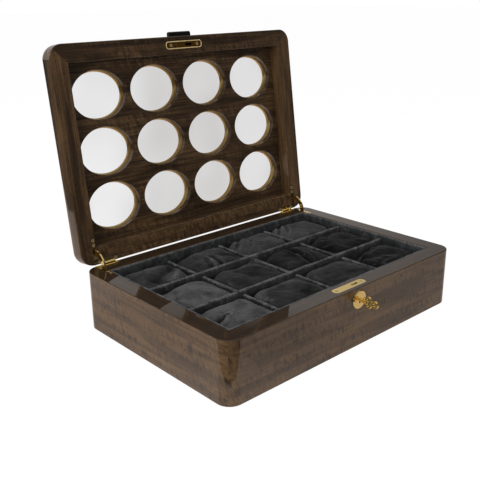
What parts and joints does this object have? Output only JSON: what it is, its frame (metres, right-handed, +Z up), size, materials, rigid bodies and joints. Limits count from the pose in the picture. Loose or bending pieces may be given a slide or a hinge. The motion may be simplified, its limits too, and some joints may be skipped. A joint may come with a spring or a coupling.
{
  "type": "watch display box",
  "caption": "Lacquered wooden watch display box with oval glazed windows in a hinged lid, quadrant hinges, a hook lock with key, and cushioned compartments.",
  "frame": {"origin": "centre of the felt face that the case rests on", "axes": "+X along the front to the right, +Y from the front to the hinges, +Z up"},
  "size_m": [0.37, 0.3405, 0.3281],
  "materials": {
    "lacquered_wood": "high gloss lacquer over figured veneer",
    "plywood": "sanded",
    "suede": "short napped suede",
    "brass": "polished",
    "lock_steel": "bright",
    "window_glass": "clear",
    "pull_black": "gloss"
  },
  "bodies": {
    "case": {"case_front": "lacquered_wood", "case_back": "lacquered_wood", "case_left": "lacquered_wood", "case_right": "lacquered_wood", "case_bottom": "plywood", "base_felt": "suede", "liner_floor": "suede", "liner_left": "suede", "liner_right": "suede", "liner_front": "suede", "liner_back": "suede", "divider_long_1": "suede", "divider_long_2": "suede", "divider_cross_1": "suede", "divider_cross_2": "suede", "divider_cross_3": "suede", "hinge_base_leaf_right": "brass", "hinge_base_leaf_left": "brass", "hinge_pin_right": "brass", "hinge_pin_left": "brass", "base_hinge_screws": "brass", "lock_selvedge": "brass", "lock_screws": "brass", "lock_case": "brass", "lock_cover": "brass", "hook_pivot": "lock_steel", "lock_spring": "lock_steel", "escutcheon": "brass", "escutcheon_pins": "brass"},
    "lid": {"lid_front": "lacquered_wood", "lid_back": "lacquered_wood", "lid_left": "lacquered_wood", "lid_right": "lacquered_wood", "lid_panel": "lacquered_wood", "window_rings": "brass", "window_panes": "window_glass", "hinge_lid_leaf_right": "brass", "hinge_lid_leaf_left": "brass", "lid_hinge_screws": "brass", "strike_plate": "brass", "strike_screws": "brass", "lid_pull": "pull_black"},
    "stay_right": {"stay_right": "brass"},
    "stay_left": {"stay_left": "brass"},
    "follower": {"key_follower": "lock_steel"},
    "key": {"key": "brass"},
    "hook": {"hook_bolt": "lock_steel"},
    "cushion_r1_c1": {"cushion_r1_c1": "suede"},
    "cushion_r1_c2": {"cushion_r1_c2": "suede"},
    "cushion_r1_c3": {"cushion_r1_c3": "suede"},
    "cushion_r1_c4": {"cushion_r1_c4": "suede"},
    "cushion_r2_c1": {"cushion_r2_c1": "suede"},
    "cushion_r2_c2": {"cushion_r2_c2": "suede"},
    "cushion_r2_c3": {"cushion_r2_c3": "suede"},
    "cushion_r2_c4": {"cushion_r2_c4": "suede"},
    "cushion_r3_c1": {"cushion_r3_c1": "suede"},
    "cushion_r3_c2": {"cushion_r3_c2": "suede"},
    "cushion_r3_c3": {"cushion_r3_c3": "suede"},
    "cushion_r3_c4": {"cushion_r3_c4": "suede"}
  },
  "joints": [
    {"name": "lid_hinge", "type": "hinge", "parent": "case", "child": "lid", "pos_m": [0, 0.1272, 0.07175], "axis": [-1, 0, 0], "range_deg": [-97.6, 0]},
    {"name": "stay_right_slide", "type": "hinge", "parent": "case", "child": "stay_right", "pos_m": [0.1669, 0.1272, 0.07175], "axis": [-1, 0, 0], "range_deg": [-48.8, 0]},
    {"name": "stay_left_slide", "type": "hinge", "parent": "case", "child": "stay_left", "pos_m": [-0.1669, 0.1272, 0.07175], "axis": [-1, 0, 0], "range_deg": [-48.8, 0]},
    {"name": "follower_turn", "type": "hinge", "parent": "case", "child": "follower", "pos_m": [0.0048, -0.11605, 0.0577], "axis": [0, 1, 0], "range_deg": [0, 90]},
    {"name": "key_draw", "type": "slide", "parent": "follower", "child": "key", "axis": [0, -1, 0], "range_m": [0, 0.04]},
    {"name": "hook_turn", "type": "hinge", "parent": "case", "child": "hook", "pos_m": [-0.0015, -0.11605, 0.065], "axis": [0, -1, 0], "range_deg": [0, 68]},
    {"name": "cushion_r1_c1_lift", "type": "slide", "parent": "case", "child": "cushion_r1_c1", "axis": [0, 0, 1], "range_m": [0, 0.07]},
    {"name": "cushion_r1_c2_lift", "type": "slide", "parent": "case", "child": "cushion_r1_c2", "axis": [0, 0, 1], "range_m": [0, 0.07]},
    {"name": "cushion_r1_c3_lift", "type": "slide", "parent": "case", "child": "cushion_r1_c3", "axis": [0, 0, 1], "range_m": [0, 0.07]},
    {"name": "cushion_r1_c4_lift", "type": "slide", "parent": "case", "child": "cushion_r1_c4", "axis": [0, 0, 1], "range_m": [0, 0.07]},
    {"name": "cushion_r2_c1_lift", "type": "slide", "parent": "case", "child": "cushion_r2_c1", "axis": [0, 0, 1], "range_m": [0, 0.07]},
    {"name": "cushion_r2_c2_lift", "type": "slide", "parent": "case", "child": "cushion_r2_c2", "axis": [0, 0, 1], "range_m": [0, 0.07]},
    {"name": "cushion_r2_c3_lift", "type": "slide", "parent": "case", "child": "cushion_r2_c3", "axis": [0, 0, 1], "range_m": [0, 0.07]},
    {"name": "cushion_r2_c4_lift", "type": "slide", "parent": "case", "child": "cushion_r2_c4", "axis": [0, 0, 1], "range_m": [0, 0.07]},
    {"name": "cushion_r3_c1_lift", "type": "slide", "parent": "case", "child": "cushion_r3_c1", "axis": [0, 0, 1], "range_m": [0, 0.07]},
    {"name": "cushion_r3_c2_lift", "type": "slide", "parent": "case", "child": "cushion_r3_c2", "axis": [0, 0, 1], "range_m": [0, 0.07]},
    {"name": "cushion_r3_c3_lift", "type": "slide", "parent": "case", "child": "cushion_r3_c3", "axis": [0, 0, 1], "range_m": [0, 0.07]},
    {"name": "cushion_r3_c4_lift", "type": "slide", "parent": "case", "child": "cushion_r3_c4", "axis": [0, 0, 1], "range_m": [0, 0.07]}
  ],
  "couplings": [
    {"joint": "stay_right_slide", "follows": "lid_hinge", "ratio": 0.5},
    {"joint": "stay_left_slide", "follows": "lid_hinge", "ratio": 0.5},
    {"joint": "hook_turn", "follows": "follower_turn", "ratio": 0.7555}
  ]
}
